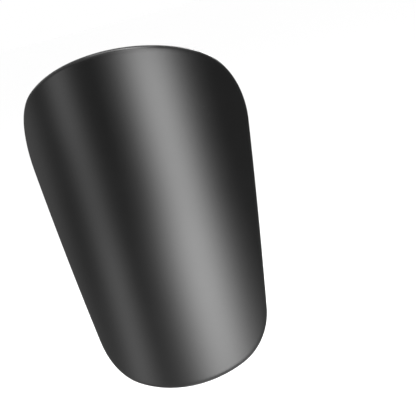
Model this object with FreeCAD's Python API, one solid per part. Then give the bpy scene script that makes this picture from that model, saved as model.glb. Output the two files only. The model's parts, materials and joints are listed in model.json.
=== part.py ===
import FreeCAD, Part
import math
import os

# Slip-in shin guard: a curved moulded plate with a padded, fabric-faced inner side, worn inside a sock.
#
# Frame, in mm: the origin is the middle of the inner face, the one that lies on the shin, at half the
# guard's length. +Z runs up the shin to the wide end, +Y points at the leg and X runs across.
# The guard is bent about one upright axis, so each layer is a patch of a cylinder wall about that axis.
# Its outline is drawn flat, as (distance round the plate, height), and then wrapped on the cylinders.

# Outline of the plate, laid flat at the middle of its thickness
LENGTH = 120.0              # top to bottom
HALF_WIDTH = 40.7           # centre line to side edge, at half the length
SIDE_SLOPE = 10.7           # degrees by which each straight side leans out towards the top
TOP_RADIUS = 69.2           # broad arc of the upper edge
SHOULDER_RADIUS = 26.1      # between the upper edge and a side
CORNER_RADIUS = 21.4        # between a side and the lower edge
BOTTOM_RADIUS = 57.0        # broad arc of the lower edge

# Layers, from the leg outwards
FACE_RADIUS = 43.5          # bend radius of the inner face
LINING_THICKNESS = 0.5      # knitted lining
FILM_THICKNESS = 0.1        # hot-melt film between lining and foam
FOAM_THICKNESS = 3.4        # closed-cell foam
TAPE_THICKNESS = 0.2        # double-sided tape between foam and plate
PLATE_THICKNESS = 3.2       # moulded plate

PAD_INSET = 0.9             # the pad stops this far inside the plate's outline
TAPE_INSET = 1.5            # the tape stops further in, clear of the pad's cut edge
OUTER_ROUND = 1.4           # rounding of the plate's rim, sock side
INNER_ROUND = 0.9           # rounding of the plate's rim, leg side

FILM_RADIUS = FACE_RADIUS + LINING_THICKNESS
FOAM_RADIUS = FILM_RADIUS + FILM_THICKNESS
TAPE_RADIUS = FOAM_RADIUS + FOAM_THICKNESS
PLATE_RADIUS = TAPE_RADIUS + TAPE_THICKNESS
SOCK_RADIUS = PLATE_RADIUS + PLATE_THICKNESS
FLAT_RADIUS = PLATE_RADIUS + PLATE_THICKNESS / 2

FRONT_ANGLE = 1.5 * math.pi     # where on the cylinders the centre line lies, facing -Y
OVERCUT = 1.0                   # how far the cutting wall stands out of a layer on each side
ON_RIM = 0.01                   # how near a corner lies to a cylinder that it is on


def flat_point(across, height):
    return FreeCAD.Base.Vector2d(across, height)


def arc(centre, radius, start, end):
    circle = Part.Geom2d.Circle2d(centre, radius)
    return Part.Geom2d.ArcOfCircle2d(circle, start, end).toBSpline()


def blend_centre(end_centre, end_radius, radius, inset, direction):
    """Centre of the arc that blends a straight side into the end arc above (1) or below it (-1)."""
    slope = math.radians(SIDE_SLOPE)
    rise = flat_point(math.sin(slope), math.cos(slope))
    reach = radius + inset
    start = flat_point(HALF_WIDTH - reach * math.cos(slope), reach * math.sin(slope))
    offset = start - end_centre
    along = offset.x * rise.x + offset.y * rise.y
    short = offset.x ** 2 + offset.y ** 2 - (end_radius - radius) ** 2
    travel = direction * math.sqrt(along ** 2 - short) - along
    return flat_point(start.x + travel * rise.x, start.y + travel * rise.y)


def angle_between(centre, other):
    return math.atan2(other.y - centre.y, other.x - centre.x)


def mirrored(curve):
    other = curve.copy()
    for number, pole in enumerate(curve.getPoles(), 1):
        other.setPole(number, flat_point(-pole.x, pole.y))
    return other


def outline(inset):
    """The flat outline, moved inwards all round by inset, as spline curves in order."""
    top_radius = TOP_RADIUS - inset
    shoulder_radius = SHOULDER_RADIUS - inset
    corner_radius = CORNER_RADIUS - inset
    bottom_radius = BOTTOM_RADIUS - inset
    top_centre = flat_point(0, LENGTH / 2 - TOP_RADIUS)
    bottom_centre = flat_point(0, BOTTOM_RADIUS - LENGTH / 2)
    shoulder = blend_centre(top_centre, top_radius, shoulder_radius, inset, 1)
    corner = blend_centre(bottom_centre, bottom_radius, corner_radius, inset, -1)

    side_angle = -math.radians(SIDE_SLOPE)
    top_angle = angle_between(top_centre, shoulder)
    bottom_angle = angle_between(bottom_centre, corner)
    corner_arc = arc(corner, corner_radius, bottom_angle, side_angle)
    shoulder_arc = arc(shoulder, shoulder_radius, side_angle, top_angle)
    side = Part.Geom2d.Line2dSegment(corner_arc.EndPoint, shoulder_arc.StartPoint).toBSpline()
    half = [corner_arc, side, shoulder_arc]
    top = arc(top_centre, top_radius, top_angle, math.pi - top_angle)
    bottom = arc(bottom_centre, bottom_radius, -math.pi - bottom_angle, bottom_angle)
    return half + [top] + [mirrored(curve) for curve in reversed(half)] + [bottom]


def wrapped(curves, radius):
    """The flat curves as one wire on the cylinder of this radius, at the same angles about its axis."""
    surface = Part.Cylinder()
    surface.Center = FreeCAD.Vector(0, FACE_RADIUS, 0)
    surface.Radius = radius
    edges = []
    for curve in curves:
        bent = curve.copy()
        for number, pole in enumerate(curve.getPoles(), 1):
            bent.setPole(number, flat_point(FRONT_ANGLE + pole.x / FLAT_RADIUS, pole.y))
        edges.append(bent.toShape(surface))
    return Part.Wire(edges)


def tube(radius):
    return Part.makeCylinder(radius, 2 * LENGTH, FreeCAD.Vector(0, FACE_RADIUS, -LENGTH))


def layer(inner_radius, outer_radius, inset):
    """The patch of wall between two radii that lies inside the outline, cut square to the wall."""
    curves = outline(inset)
    low = wrapped(curves, inner_radius - OVERCUT)
    high = wrapped(curves, outer_radius + OVERCUT)
    cutting_wall = Part.makeLoft([low, high], False, True)
    ring = tube(outer_radius).cut(tube(inner_radius))
    pieces, _ = ring.generalFuse([cutting_wall])
    return min(pieces.Solids, key=lambda solid: solid.Volume)


def rim_edges(solid, radius):
    """The edges whose ends both lie on the cylinder of this radius."""
    def on_cylinder(corner):
        return abs(math.hypot(corner.X, corner.Y - FACE_RADIUS) - radius) < ON_RIM
    return [edge for edge in solid.Edges if all(on_cylinder(corner) for corner in edge.Vertexes)]


def moulded_plate():
    plate = layer(PLATE_RADIUS, SOCK_RADIUS, 0)
    plate = plate.makeFillet(OUTER_ROUND, rim_edges(plate, SOCK_RADIUS))
    return plate.makeFillet(INNER_ROUND, rim_edges(plate, PLATE_RADIUS)).Solids[0]


def main():
    os.makedirs("parts", exist_ok=True)
    nodes = {
        "outer_shell": moulded_plate(),
        "shell_tape": layer(TAPE_RADIUS, PLATE_RADIUS, TAPE_INSET),
        "foam_pad": layer(FOAM_RADIUS, TAPE_RADIUS, PAD_INSET),
        "laminating_film": layer(FILM_RADIUS, FOAM_RADIUS, PAD_INSET),
        "lining_fabric": layer(FACE_RADIUS, FILM_RADIUS, PAD_INSET),
    }
    for name, solid in nodes.items():
        box = solid.optimalBoundingBox()
        print(name, solid.ShapeType, "valid" if solid.isValid() else "NOT VALID",
              "%.1f mm3," % solid.Volume, "x %.2f..%.2f," % (box.XMin, box.XMax),
              "y %.2f..%.2f," % (box.YMin, box.YMax), "z %.2f..%.2f" % (box.ZMin, box.ZMax))
        solid.exportStep("parts/" + name + ".step")


main()
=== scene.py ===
import json
import math

import bpy
import numpy as np
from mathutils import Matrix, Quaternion, Vector


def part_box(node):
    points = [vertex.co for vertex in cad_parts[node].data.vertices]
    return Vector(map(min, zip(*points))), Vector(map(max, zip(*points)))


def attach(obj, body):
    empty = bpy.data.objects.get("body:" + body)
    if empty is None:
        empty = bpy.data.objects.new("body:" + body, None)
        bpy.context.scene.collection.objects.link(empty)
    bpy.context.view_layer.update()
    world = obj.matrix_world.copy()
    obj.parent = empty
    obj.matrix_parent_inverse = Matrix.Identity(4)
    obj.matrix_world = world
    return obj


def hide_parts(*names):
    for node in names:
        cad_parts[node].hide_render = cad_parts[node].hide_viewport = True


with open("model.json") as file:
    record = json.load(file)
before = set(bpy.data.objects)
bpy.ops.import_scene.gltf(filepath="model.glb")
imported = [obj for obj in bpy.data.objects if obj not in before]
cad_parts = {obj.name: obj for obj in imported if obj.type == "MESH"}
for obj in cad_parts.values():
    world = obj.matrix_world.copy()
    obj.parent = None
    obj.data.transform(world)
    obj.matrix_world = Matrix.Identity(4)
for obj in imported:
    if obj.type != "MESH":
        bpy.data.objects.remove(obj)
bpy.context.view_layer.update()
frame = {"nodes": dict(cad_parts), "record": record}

# Lengths are in metres, and in the materials in millimetres. Angles are in degrees where they are named
# values and in radians where they are worked with. The guard is bent about one upright axis, so a point of
# it is given by its distance round the plate from the centre line, its height, and its distance from that
# axis. A flat point is the first two of these.

MM = 0.001

# --------------------------------------------------------------------------------------------------
# Sizes from the frame

MOUNTS = {mount["name"]: mount for mount in frame["record"]["mounts"]}
FACE_RADIUS = MOUNTS["shin_face"]["dims"]["r_mm"] * MM      # bend radius of the skin side of the lining


def outer_radius(node):
    """Distance from the bend axis to the outer side of a layer, which faces -Y at the centre line."""
    return FACE_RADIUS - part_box(node)[0].y


FILM_RADIUS = outer_radius("lining_fabric")
FOAM_RADIUS = outer_radius("laminating_film")
TAPE_RADIUS = outer_radius("foam_pad")
PLATE_RADIUS = outer_radius("shell_tape")
SOCK_RADIUS = outer_radius("outer_shell")
FLAT_RADIUS = (PLATE_RADIUS + SOCK_RADIUS) / 2

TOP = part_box("outer_shell")[1].z
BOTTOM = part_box("outer_shell")[0].z
PAD_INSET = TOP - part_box("foam_pad")[1].z

# The flat outline, at FLAT_RADIUS, which is the CAD model's: a broad arc at each end and straight sides
HALF_WIDTH = 0.0407                     # centre line to side edge, at half the length
SIDE_SLOPE = math.radians(10.7)         # by which each side leans out towards the top
TOP_RADIUS = 0.0692
SHOULDER_RADIUS = 0.0261                # between the top arc and a side
CORNER_RADIUS = 0.0214                  # between a side and the bottom arc
BOTTOM_RADIUS = 0.0570

OUTER_ROUND = 0.0014        # rounding of the plate's rim, sock side
INNER_ROUND = 0.0009        # rounding of the plate's rim, leg side

# What the die leaves on the soft pad, which is laminated first and cut out afterwards
CUT_HOLLOW = 0.00012        # how far the foam's cut edge is hollow between its corners
CUT_CORNER = 0.00015        # rounding of the cut edge's corners
PRESSED_DEPTH = 0.00016     # how far the die presses the lining down along its edge
PRESSED_WIDTH = 0.0013
SOFT_WAVE = 0.00004         # height of the faint waves in the lining over the soft foam
LINING_ROLL = 0.75          # share of the lining's thickness over which its cut edge rolls

# The net of quads on each face of a layer
CELLS_ACROSS, CELLS_DOWN = 112, 112
FACE_BORDER = 0.001         # how far inside a cut edge the net of a soft layer's face ends
OUTER_BORDER = 1.6          # the same inside the plate's rim, as a share of its rounding
INNER_BORDER = 2

# --------------------------------------------------------------------------------------------------
# The outline and the meshes made from it


class Outline:
    """Points round the flat outline and their outward normals, in an order that a grid can be built on.

    The ring starts in the middle of the left shoulder and runs over the top, down the right side, along the
    bottom and up the left side. The first and third stretch have cells_across cells, the others cells_down.
    """

    def __init__(self, cells_across, cells_down):
        self.across, self.down = cells_across, cells_down
        segments = self.right_half()
        lengths = [length for length, _ in segments]
        shoulder = lengths[0] + lengths[1] / 2
        corner = sum(lengths) - lengths[4] - lengths[3] / 2
        top = np.linspace(0, shoulder, cells_across // 2 + 1)
        side = np.linspace(shoulder, corner, cells_down + 1)
        bottom = np.linspace(corner, sum(lengths), cells_across // 2 + 1)
        distances = np.concatenate([top, side[1:], bottom[1:]])
        right = np.array([self.at(segments, distance) for distance in distances])
        left = right[-2:0:-1] * [-1, 1, -1, 1]
        ring = np.roll(np.concatenate([right, left]), cells_across // 2, axis=0)
        self.points, self.normals = ring[:, :2], ring[:, 2:]

    @staticmethod
    def blend_centre(end_height, end_radius, radius, direction):
        """Centre of the arc that blends a straight side into the end arc above (1) or below it (-1)."""
        rise = np.array([math.sin(SIDE_SLOPE), math.cos(SIDE_SLOPE)])
        start = np.array([HALF_WIDTH - radius * rise[1], radius * rise[0]])
        offset = start - [0, end_height]
        along = offset @ rise
        short = offset @ offset - (end_radius - radius) ** 2
        return start + (direction * math.sqrt(along ** 2 - short) - along) * rise

    def right_half(self):
        """The five stretches from the top of the centre line to its foot, as (length, function)."""
        top_centre = np.array([0, TOP - TOP_RADIUS])
        bottom_centre = np.array([0, BOTTOM + BOTTOM_RADIUS])
        shoulder = self.blend_centre(top_centre[1], TOP_RADIUS, SHOULDER_RADIUS, 1)
        corner = self.blend_centre(bottom_centre[1], BOTTOM_RADIUS, CORNER_RADIUS, -1)
        top_angle = math.atan2(*(shoulder - top_centre)[::-1])
        bottom_angle = math.atan2(*(corner - bottom_centre)[::-1])

        def arc(centre, radius, start, end):
            def at(share):
                angle = start + (end - start) * share
                normal = np.array([math.cos(angle), math.sin(angle)])
                return [*(centre + radius * normal), *normal]
            return radius * abs(end - start), at

        def line(start, end):
            normal = [math.cos(SIDE_SLOPE), -math.sin(SIDE_SLOPE)]
            return np.linalg.norm(end - start), lambda share: [*(start + (end - start) * share), *normal]

        shoulder_arc = arc(shoulder, SHOULDER_RADIUS, top_angle, -SIDE_SLOPE)
        corner_arc = arc(corner, CORNER_RADIUS, -SIDE_SLOPE, bottom_angle)
        side = line(np.array(shoulder_arc[1](1)[:2]), np.array(corner_arc[1](0)[:2]))
        return [
            arc(top_centre, TOP_RADIUS, math.pi / 2, top_angle), shoulder_arc, side, corner_arc,
            arc(bottom_centre, BOTTOM_RADIUS, bottom_angle, -math.pi / 2),
        ]

    @staticmethod
    def at(segments, distance):
        for length, function in segments:
            if distance <= length:
                return function(distance / length)
            distance -= length
        return segments[-1][1](1)

    def ring(self, inset):
        """The ring moved inwards by one inset, or by one for each point."""
        return self.points - np.reshape(inset, (-1, 1)) * self.normals

    def turn(self):
        """How far round the outline each point of the ring is, from 0 to a full turn."""
        steps = np.linalg.norm(np.roll(self.points, -1, axis=0) - self.points, axis=1)
        return 2 * math.pi * np.concatenate([[0], np.cumsum(steps)[:-1]]) / steps.sum()

    def depth(self, flat):
        """How far inside the outline flat points are."""
        offsets = self.points[None] - flat.reshape(-1, 1, 2)
        return np.einsum("ijk,jk->ij", offsets, self.normals).min(axis=1)

    def grid(self, inset):
        """A net of flat points, indexed [down, across], that meets the ring all round."""
        ring = self.ring(inset)
        across, down = self.across, self.down
        top, right = ring[:across + 1], ring[across:across + down + 1]
        bottom = ring[across + down:2 * across + down + 1][::-1]
        left = np.concatenate([ring[2 * across + down:], ring[:1]])[::-1]
        u = np.linspace(0, 1, across + 1)[None, :, None]
        v = np.linspace(0, 1, down + 1)[:, None, None]
        ends = (1 - v) * top[None] + v * bottom[None]
        sides = (1 - u) * left[:, None] + u * right[:, None]
        corners = (1 - v) * ((1 - u) * top[0] + u * top[-1]) + v * ((1 - u) * bottom[0] + u * bottom[-1])
        return ends + sides - corners

    def ring_in_grid(self):
        """The place in the flattened net of each point of the ring."""
        index = np.arange((self.down + 1) * (self.across + 1)).reshape(self.down + 1, self.across + 1)
        return np.concatenate([index[0, :-1], index[:-1, -1], index[-1, :0:-1], index[:0:-1, 0]])


OUTLINE = Outline(CELLS_ACROSS, CELLS_DOWN)


def wrapped(flat, radius):
    """Flat points at a distance from the bend axis, as points of the frame."""
    angle = flat[..., 0] / FLAT_RADIUS
    x, y = radius * np.sin(angle), FACE_RADIUS - radius * np.cos(angle)
    return np.stack([x, y, flat[..., 1] + 0 * x], axis=-1).reshape(-1, 3)


def slab(name, profile, material, inner_relief=None):
    """A closed piece: an outer face, an edge that follows profile, and an inner face.

    profile is a list of (inset, radius), from the outer face's border round the edge to the inner one's.
    inner_relief takes flat points and gives what is added to the inner face's radius there. Each point
    keeps its distance in from the outline, in millimetres, as the attribute rim.
    """
    outer, inner = OUTLINE.grid(profile[0][0]), OUTLINE.grid(profile[-1][0])
    rings = [(OUTLINE.ring(inset), radius) for inset, radius in profile[1:-1]]
    sunk = inner_relief(inner) if inner_relief else 0
    blocks = [(outer, profile[0][1]), *rings, (inner, profile[-1][1] + sunk)]
    points = np.concatenate([wrapped(flat, radius) for flat, radius in blocks])

    border, face_points = OUTLINE.ring_in_grid(), outer.shape[0] * outer.shape[1]
    count = len(border)
    starts = face_points + count * np.arange(len(rings) + 1)
    loops = [border, *(start + np.arange(count) for start in starts[:-1]), starts[-1] + border]

    net = np.arange(face_points).reshape(outer.shape[:2])
    corners = [net[:-1, :-1], net[:-1, 1:], net[1:, 1:], net[1:, :-1]]
    faces = [np.stack(corners[::-1], axis=-1), np.stack(corners, axis=-1) + starts[-1]]
    for loop, further in zip(loops[:-1], loops[1:]):
        faces.append(np.stack([loop, np.roll(loop, -1), np.roll(further, -1), further], axis=-1))

    mesh = bpy.data.meshes.new(name)
    quads = np.concatenate([face.reshape(-1, 4) for face in faces])
    mesh.from_pydata(points.tolist(), [], quads.tolist())
    mesh.polygons.foreach_set("use_smooth", [True] * len(mesh.polygons))
    rim = np.concatenate([OUTLINE.depth(flat) for flat, _ in blocks]) / MM
    mesh.attributes.new("rim", "FLOAT", "POINT").data.foreach_set("value", rim.astype(np.float32))
    mesh.materials.append(material)
    made = bpy.data.objects.new(name, mesh)
    bpy.context.scene.collection.objects.link(made)
    return made


def rounding(inset, radius, size, start, end, steps):
    """Points of a rounding about (inset, radius): 0 faces the sock, 90 outwards and 180 the leg."""
    angles = np.radians(np.linspace(start, end, steps + 1))
    return [(inset - size * math.sin(angle), radius + size * math.cos(angle)) for angle in angles]


# --------------------------------------------------------------------------------------------------
# Materials


class Nodes:
    """Short ways to add nodes to a new material."""

    def __init__(self, name, **shader):
        self.material = bpy.data.materials.new(name)
        self.material.use_nodes = True
        self.tree = self.material.node_tree
        self.shader = self.tree.nodes["Principled BSDF"]
        for socket, value in shader.items():
            self.plug(self.shader.inputs[socket.replace("_", " ")], value)

    def plug(self, socket, value):
        if isinstance(value, bpy.types.NodeSocket):
            self.tree.links.new(value, socket)
        elif value is not None:
            socket.default_value = value

    def add(self, kind, inputs=(), **settings):
        node = self.tree.nodes.new("ShaderNode" + kind)
        for key, value in settings.items():
            setattr(node, key, value)
        for socket, value in zip(node.inputs, inputs):
            self.plug(socket, value)
        return node

    def math(self, operation, *values):
        return self.add("Math", values, operation=operation).outputs[0]

    def surface_place(self):
        """Millimetres round the guard, up it, and out from the bend axis, which bend with its layers."""
        place = self.add("SeparateXYZ", [self.add("TexCoord").outputs["Object"]])
        x, y, z = place.outputs
        out = self.math("SUBTRACT", FACE_RADIUS, y)
        around = self.math("MULTIPLY", self.math("ARCTAN2", x, out), FLAT_RADIUS / MM)
        squares = self.math("ADD", self.math("POWER", x, 2), self.math("POWER", out, 2))
        radius = self.math("DIVIDE", self.math("SQRT", squares), MM)
        up = self.math("DIVIDE", z, MM)
        return self.add("CombineXYZ", [around, up, radius]).outputs[0]

    def rim(self):
        """Millimetres in from the outline."""
        return self.add("Attribute", attribute_name="rim").outputs["Fac"]

    def stretched(self, place, around, up, out):
        return self.add("VectorMath", [place, (around, up, out)], operation="MULTIPLY").outputs[0]

    def turned(self, place, angle):
        inputs = [place, (0, 0, 0), (0, 0, 1), math.radians(angle)]
        return self.add("VectorRotate", inputs).outputs[0]

    def noise(self, place, size, detail=2, roughness=0.5):
        """Noise whose features are about size millimetres across, from 0 to 1."""
        node = self.add("TexNoise")
        inputs = {"Vector": place, "Scale": 1 / size, "Detail": detail, "Roughness": roughness}
        for key, value in inputs.items():
            self.plug(node.inputs[key], value)
        return node.outputs["Fac"]

    def cells(self, place, size):
        """Distance from the middle of the nearest of many cells about size millimetres across."""
        node = self.add("TexVoronoi")
        self.plug(node.inputs["Vector"], place)
        self.plug(node.inputs["Scale"], 1 / size)
        return node.outputs["Distance"]

    def ramp(self, value, low, high, start, end):
        """start where value is low or less, end where it is high or more, and a straight run between."""
        return self.add("MapRange", [value, low, high, start, end], clamp=True).outputs[0]

    def blend(self, share, first, second):
        node = self.add("Mix", data_type="RGBA")
        for socket, value in zip((node.inputs[0], node.inputs[6], node.inputs[7]), (share, first, second)):
            self.plug(socket, value)
        return node.outputs[2]

    def bump(self, height, depth, below=None):
        """Relief where a height of 1 stands depth millimetres above a height of 0."""
        node = self.add("Bump")
        inputs = {"Height": height, "Distance": depth * MM, "Strength": 1.0, "Normal": below}
        for key, value in inputs.items():
            self.plug(node.inputs[key], value)
        return node.outputs[0]


def grey(value):
    return (value, value, value, 1)


def moulded_plastic():
    """Black plastic with a satin skin from the mould, faint handling marks and a slightly dulled rim."""
    n = Nodes("moulded_plastic", IOR=1.49, Specular_IOR_Level=0.5)
    place = n.surface_place()
    clouds = n.noise(place, 14, detail=3)
    skin = n.noise(place, 0.35, detail=3, roughness=0.6)
    hairlines = [
        n.ramp(n.noise(n.stretched(n.turned(place, angle), 0.05, 1, 1), size), 0.70, 0.76, 0, 1)
        for angle, size in ((24, 0.22), (-63, 0.3))
    ]
    scratches = n.math("MAXIMUM", *hairlines)
    patches = n.ramp(n.noise(place, 1.1, detail=4), 0.4, 0.65, 0.3, 1)
    worn = n.math("MULTIPLY", n.ramp(n.rim(), 0.2, 2.2, 1, 0), patches)

    colour = n.blend(clouds, grey(0.0004), grey(0.0008))
    colour = n.blend(n.math("MULTIPLY", worn, 0.5), colour, grey(0.006))
    n.plug(n.shader.inputs["Base Color"], colour)
    roughness = n.math("ADD", n.ramp(clouds, 0.3, 0.7, 0.20, 0.215), n.math("MULTIPLY", worn, 0.05))
    roughness = n.math("ADD", roughness, n.math("MULTIPLY", scratches, 0.06))
    roughness = n.math("ADD", roughness, n.ramp(skin, 0.2, 0.8, -0.015, 0.015))
    n.plug(n.shader.inputs["Roughness"], roughness)
    relief = n.bump(n.noise(place, 11, detail=1), 0.012)
    relief = n.bump(skin, 0.002, relief)
    n.plug(n.shader.inputs["Normal"], n.bump(scratches, -0.001, relief))
    return n.material


def cut_foam():
    """Closed-cell foam: fine cells laid open by the die, painted darker inside as shade in the pits, with
    faint drag lines through the thickness.
    """
    n = Nodes("eva_foam", Specular_IOR_Level=0.15)
    place = n.surface_place()
    cells = n.cells(place, 0.36)
    pit_depth_and_shade = n.ramp(cells, 0.15, 0.75, 0, 1)
    drag = n.noise(n.stretched(place, 1, 1, 0.12), 0.7, detail=3)
    patches = n.noise(place, 5, detail=3)

    # painted shade: the colour is darkest in the middle of each open cell, where shade falls in the pit
    colour = n.blend(pit_depth_and_shade, grey(0.006), grey(0.029))
    colour = n.blend(n.ramp(patches, 0.3, 0.7, 0, 0.35), colour, grey(0.014))
    colour = n.blend(n.ramp(drag, 0.45, 0.75, 0, 0.4), colour, grey(0.028))
    n.plug(n.shader.inputs["Base Color"], colour)
    n.plug(n.shader.inputs["Roughness"], n.ramp(pit_depth_and_shade, 0, 1, 0.95, 0.78))
    relief = n.bump(drag, 0.05)
    n.plug(n.shader.inputs["Normal"], n.bump(pit_depth_and_shade, 0.1, relief))
    return n.material


def brushed_knit():
    """A fine warp knit brushed to a short pile, with painted light and shade: raised pile lighter, hollows
    and patches of nap darker, and darker along its edge, where the die pressed it, partly as painted shade.
    """
    wale, course = 0.9, 0.7         # width and height of a pair of stitches, in millimetres
    n = Nodes(
        "brushed_knit", Specular_IOR_Level=0.02, Sheen_Weight=0.02, Sheen_Roughness=0.45,
        Sheen_Tint=grey(0.5),
    )
    place = n.surface_place()
    wander = n.math("MULTIPLY", n.noise(place, 2.2, detail=2), 5)
    around, up, _ = n.add("SeparateXYZ", [place]).outputs
    wales = n.math("SINE", n.math("ADD", n.math("MULTIPLY", around, 2 * math.pi / wale), wander))
    courses = n.math("SINE", n.math("ADD", n.math("MULTIPLY", up, 2 * math.pi / course), wander))
    loops = n.ramp(n.math("MULTIPLY", wales, courses), -0.8, 0.8, 0.35, 0.65)
    pile = n.noise(n.stretched(place, 1, 0.7, 1), 0.75, detail=4, roughness=0.65)
    nap_sheen_patches = n.noise(place, 8, detail=3)
    pile_height_and_shade = n.math("ADD", n.math("MULTIPLY", pile, 0.7), n.math("MULTIPLY", loops, 0.3))

    # painted light and shade: raised pile and loops are painted lighter, the hollows between them darker
    colour = n.blend(n.ramp(pile_height_and_shade, 0.42, 0.60, 0, 1), grey(0.0003), grey(0.0085))
    # painted sheen: cloudy patches are painted darker, as the brushed nap catches less light there
    colour = n.blend(n.ramp(nap_sheen_patches, 0.35, 0.65, 0, 0.35), colour, grey(0.0016))
    edge = PAD_INSET / MM
    # partly painted shade: the first millimetre inside the cut edge, where the die pressed the pile, is
    # painted darker as shade in the rolled edge
    pressed = n.ramp(n.rim(), edge + 0.1, edge + 1.0, 0.75, 0)
    n.plug(n.shader.inputs["Base Color"], n.blend(pressed, colour, grey(0.0014)))
    n.plug(n.shader.inputs["Roughness"], n.ramp(pile_height_and_shade, 0.35, 0.65, 0.95, 0.75))
    n.plug(n.shader.inputs["Normal"], n.bump(pile_height_and_shade, 0.5))
    return n.material


def adhesive_tape():
    """The edge of a thin black foam tape, slightly tacky and dusty."""
    n = Nodes("bonding_tape", Specular_IOR_Level=0.4)
    place = n.surface_place()
    dust = n.noise(place, 0.4, detail=4, roughness=0.7)
    colour = n.blend(n.ramp(dust, 0.45, 0.75, 0, 1), grey(0.006), grey(0.018))
    n.plug(n.shader.inputs["Base Color"], colour)
    n.plug(n.shader.inputs["Roughness"], n.ramp(dust, 0.3, 0.7, 0.5, 0.75))
    n.plug(n.shader.inputs["Normal"], n.bump(dust, 0.03))
    return n.material


def melted_film():
    """The edge of the hot-melt web that has soaked into the foam and the lining."""
    n = Nodes("hot_melt_film", Specular_IOR_Level=0.4)
    place = n.surface_place()
    flow = n.noise(n.stretched(place, 1, 1, 0.3), 0.7, detail=3)
    colour = n.blend(n.ramp(flow, 0.35, 0.7, 0, 1), grey(0.008), grey(0.022))
    n.plug(n.shader.inputs["Base Color"], colour)
    n.plug(n.shader.inputs["Roughness"], n.ramp(flow, 0.3, 0.7, 0.35, 0.6))
    n.plug(n.shader.inputs["Normal"], n.bump(flow, 0.03))
    return n.material


# --------------------------------------------------------------------------------------------------
# Pieces


def cut_wander():
    """How far the die cut strays inwards at each point of the ring, as a hand-laid die does.

    The waves are given by how many go round the outline, where the first starts, and their half height.
    """
    turn = OUTLINE.turn()
    waves = ((5, 0.4, 0.00006), (17, 1.9, 0.00003), (43, 0.7, 0.00002), (97, 2.6, 0.000012))
    return sum(height * (1 + np.cos(count * turn + start)) for count, start, height in waves)


def ripple(along, length, across, sway_length, sway):
    """A wave from -1 to 1 along one way, whose crests sway to and fro across it."""
    return np.sin(along / length + sway * np.sin(across / sway_length))


def soft_face(flat):
    """The lining's leg side: sunk along its edge, where the die pressed it, and faintly wavy elsewhere."""
    around, up = flat[..., 0], flat[..., 1]
    wave = 2 + ripple(around, 0.0021, up, 0.011, 2) + ripple(up, 0.0027, around, 0.008, 1.5)
    depth = OUTLINE.depth(flat).reshape(around.shape) - PAD_INSET
    pressed = PRESSED_DEPTH * np.exp(-(np.maximum(depth, 0) / PRESSED_WIDTH) ** 2)
    return SOFT_WAVE * wave / 4 + pressed


def plate():
    profile = [(OUTER_ROUND * OUTER_BORDER, SOCK_RADIUS)]
    profile += rounding(OUTER_ROUND, SOCK_RADIUS - OUTER_ROUND, OUTER_ROUND, 0, 90, 10)
    profile += rounding(INNER_ROUND, PLATE_RADIUS + INNER_ROUND, INNER_ROUND, 90, 180, 8)
    profile.append((INNER_ROUND * INNER_BORDER, PLATE_RADIUS))
    made = slab("plate", profile, moulded_plastic())
    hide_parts("outer_shell")
    return made


def foam_core():
    inset = PAD_INSET + cut_wander()
    low, high = FOAM_RADIUS + CUT_CORNER, TAPE_RADIUS - CUT_CORNER
    profile = [(inset + FACE_BORDER, TAPE_RADIUS)]
    profile += rounding(inset + CUT_CORNER, high, CUT_CORNER, 0, 90, 3)
    for share in np.linspace(0, 1, 10)[1:-1]:
        profile.append((inset + CUT_HOLLOW * math.sin(math.pi * share), high + (low - high) * share))
    profile += rounding(inset + CUT_CORNER, low, CUT_CORNER, 90, 180, 3)
    profile.append((inset + FACE_BORDER, FOAM_RADIUS))
    made = slab("foam_core", profile, cut_foam())
    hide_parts("foam_pad")
    return made


def film():
    inset = PAD_INSET + cut_wander()
    border = inset + FACE_BORDER
    profile = [(border, FOAM_RADIUS), (inset, FOAM_RADIUS), (inset, FILM_RADIUS), (border, FILM_RADIUS)]
    made = slab("film", profile, melted_film())
    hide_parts("laminating_film")
    return made


def lining():
    inset = PAD_INSET + cut_wander()
    thickness = FILM_RADIUS - FACE_RADIUS
    roll = LINING_ROLL * thickness
    relief = soft_face(OUTLINE.ring(inset + roll))
    profile = [(inset + FACE_BORDER, FILM_RADIUS), (inset, FILM_RADIUS)]
    for step, radius in rounding(inset + roll, FACE_RADIUS + roll, roll, 90, 180, 6)[:-1]:
        profile.append((step, radius + relief * (FILM_RADIUS - radius) / thickness))
    profile.append((inset + roll, FACE_RADIUS))
    made = slab("lining", profile, brushed_knit(), inner_relief=soft_face)
    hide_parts("lining_fabric")
    return made


foam = foam_core()
for piece in (plate(), foam, film(), lining()):
    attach(piece, "root")
frame["nodes"]["shell_tape"].material_slots[0].material = adhesive_tape()

# --------------------------------------------------------------------------------------------------
# Camera, floor and light


def direction(azimuth, elevation):
    """Unit vector towards a place seen from the guard: azimuth 0 is -Y and 90 is +X."""
    a, e = math.radians(azimuth), math.radians(elevation)
    return Vector((math.sin(a) * math.cos(e), -math.cos(a) * math.cos(e), math.sin(e)))


def turned_to(place, target):
    return (target - place).to_track_quat("-Z", "Y")


CAMERA_AZIMUTH, CAMERA_ELEVATION = 14.56, 10.55
CAMERA_DISTANCE = 0.400
CAMERA_AIM = Vector((0.0206, 0, -0.0005))
CAMERA_ROLL = -14.85        # the guard leans to the left in the picture
LENS, SENSOR = 100.0, 36.0  # millimetres


def add_camera():
    camera = bpy.data.objects.new("camera", bpy.data.cameras.new("camera"))
    bpy.context.scene.collection.objects.link(camera)
    bpy.context.scene.camera = camera
    camera.data.lens, camera.data.sensor_width = LENS, SENSOR
    camera.data.clip_start = 0.01
    camera.location = direction(CAMERA_AZIMUTH, CAMERA_ELEVATION) * CAMERA_DISTANCE
    camera.rotation_mode = "QUATERNION"
    level = turned_to(camera.location, CAMERA_AIM)
    camera.rotation_quaternion = level @ Quaternion((0, 0, 1), math.radians(CAMERA_ROLL))


FLOOR = BOTTOM - 0.15       # the guard is shown held up, as it is on a leg
FLOOR_REACH = 20.0          # centre to edge, so far that its edge is lost in the white behind it
PAPER = 0.99                # brightness of the floor's paper


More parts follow.
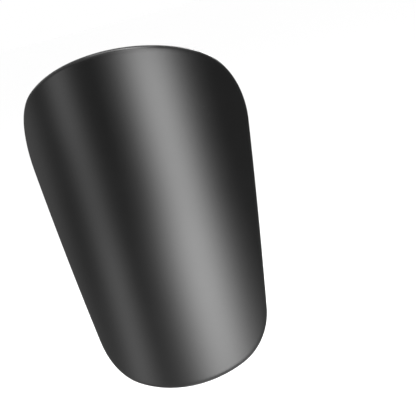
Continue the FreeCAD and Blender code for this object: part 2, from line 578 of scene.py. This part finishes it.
def add_floor():
    paper = Nodes("paper", Specular_IOR_Level=0.0, Roughness=0.9)
    paper.plug(paper.shader.inputs["Base Color"], grey(PAPER))
    corners = [(x * FLOOR_REACH, y * FLOOR_REACH, FLOOR) for x, y in ((-1, -1), (1, -1), (1, 1), (-1, 1))]
    mesh = bpy.data.meshes.new("floor")
    mesh.from_pydata(corners, [], [(0, 1, 2, 3)])
    mesh.materials.append(paper.material)
    floor = bpy.data.objects.new("floor", mesh)
    bpy.context.scene.collection.objects.link(floor)
    floor.visible_glossy = False


def panel(name, place, target, width, height, power, spread=180):
    """A light panel at place that faces target. A spread under 180 is that of a grid in front of it."""
    light = bpy.data.lights.new(name, "AREA")
    light.shape, light.size, light.size_y, light.energy = "RECTANGLE", width, height, power
    light.spread = math.radians(spread)
    made = bpy.data.objects.new(name, light)
    made.location = place
    made.rotation_mode = "QUATERNION"
    made.rotation_quaternion = turned_to(place, target)
    made.visible_camera = False
    bpy.context.scene.collection.objects.link(made)


STRIP_STEP = 6              # degrees between the strips of a bank
STRIP_DISTANCE = 0.35       # from the bend axis, near enough, to each strip
STRIP_GRID = 120            # spread of a strip's light


def strip_bank(name, azimuth, spread, low, high, power, elevation=0):
    """Strips side by side round the guard, brightest at azimuth and dimmer by spread towards both sides.

    They make one soft light whose edges fade out, so that its reflection in the plate has no borders. They
    stand upright, or are raised to an elevation about their middle and face it from there. power is that
    of the brightest strip, in watts.
    """
    middle = Vector((0, 0, (low + high) / 2))
    width = STRIP_DISTANCE * math.radians(STRIP_STEP)
    reach = int(2 * spread / STRIP_STEP)
    for number in range(-reach, reach + 1):
        offset = number * STRIP_STEP
        place = middle + direction(azimuth + offset, elevation) * STRIP_DISTANCE
        strength = power * math.exp(-(offset / spread) ** 2)
        panel(f"{name}_{number + reach}", place, middle, width, high - low, strength, STRIP_GRID)


# Brightness of the surroundings in reflections, where 1 is the white that the camera and soft light see
LEVEL_ROOM = 0.28           # near the horizon
STEEP_ROOM = 0.78           # high above it and far below it
LEVEL_BAND = 0.20           # sine of the elevation up to which the first holds
STEEP_BAND = 0.36           # sine of the elevation from which the second holds


def add_surroundings():
    """White all round, but a dimmer room in reflections, so that black plastic stays black on white.

    The floor is left out of reflections, and what lies below the horizon stands for it there.
    """
    world = bpy.data.worlds.new("surroundings")
    world.use_nodes = True
    tree = world.node_tree
    view = tree.nodes.new("ShaderNodeSeparateXYZ")
    tree.links.new(tree.nodes.new("ShaderNodeTexCoord").outputs["Generated"], view.inputs[0])
    steepness = tree.nodes.new("ShaderNodeMath")
    steepness.operation = "ABSOLUTE"
    tree.links.new(view.outputs["Z"], steepness.inputs[0])
    room = tree.nodes.new("ShaderNodeMapRange")
    room.interpolation_type = "SMOOTHSTEP"
    for socket, value in zip(room.inputs, (0, LEVEL_BAND, STEEP_BAND, LEVEL_ROOM, STEEP_ROOM)):
        socket.default_value = value
    tree.links.new(steepness.outputs[0], room.inputs["Value"])
    level = tree.nodes.new("ShaderNodeMix")
    level.inputs["A"].default_value = 1.0
    tree.links.new(tree.nodes.new("ShaderNodeLightPath").outputs["Is Glossy Ray"], level.inputs["Factor"])
    tree.links.new(room.outputs[0], level.inputs["B"])
    tree.nodes["Background"].inputs["Color"].default_value = (1, 1, 1, 1)
    tree.links.new(level.outputs[0], tree.nodes["Background"].inputs["Strength"])
    bpy.context.scene.world = world


FLOOR_PANELS = 8            # one on another, each a little wider, so that their light fades out sideways
NARROWEST, WIDENING = 0.06, 0.03
FLOOR_PANEL_LENGTH = 0.34
FLOOR_PANEL_POWER = 1.1     # watts for each metre of width


def add_floor_light():
    """Light from under the front of the guard, on the lower rim."""
    ahead = direction(42, 0) * 0.12
    place = ahead + Vector((0, 0, FLOOR + 0.002))
    for number in range(FLOOR_PANELS):
        width = NARROWEST + WIDENING * number
        power = FLOOR_PANEL_POWER * width
        panel(f"floor_light_{number}", place, ahead, width, FLOOR_PANEL_LENGTH, power)


def add_studio():
    """A tall key light right of the camera, weaker ones to its left, and light on the rims and the back."""
    ground = FLOOR + 0.01
    strip_bank("key_light", azimuth=23, spread=21.5, low=-0.07, high=0.055, power=0.0486)
    strip_bank("low_light", azimuth=20.5, spread=25, low=ground, high=-0.07, power=0.0607)
    strip_bank("upper_light", azimuth=24, spread=21.5, low=0.065, high=0.40, power=0.100)
    strip_bank("arch_light", azimuth=32, spread=19, low=-0.09, high=0.21, power=0.045, elevation=65)
    strip_bank("side_light", azimuth=-55.5, spread=13, low=-0.07, high=0.0, power=0.0042)
    strip_bank("upper_side_light", azimuth=-58, spread=13, low=0.0, high=0.10, power=0.0074)
    strip_bank("low_side_light", azimuth=-55, spread=13, low=ground, high=-0.07, power=0.0108)
    strip_bank("edge_light", azimuth=-102, spread=15, low=-0.14, high=0.10, power=0.0024)
    add_floor_light()
    panel("overhead", Vector((0, -0.1, 1.2)), Vector((0, 0.1, 0)), 1.0, 1.0, 8.0)
    panel("back_light", direction(150, 32) * 0.7, Vector((0, 0, 0)), 0.25, 0.25, 3.5)


bpy.context.scene.view_settings.view_transform = "Standard"
add_camera()
add_floor()
add_surroundings()
add_studio()
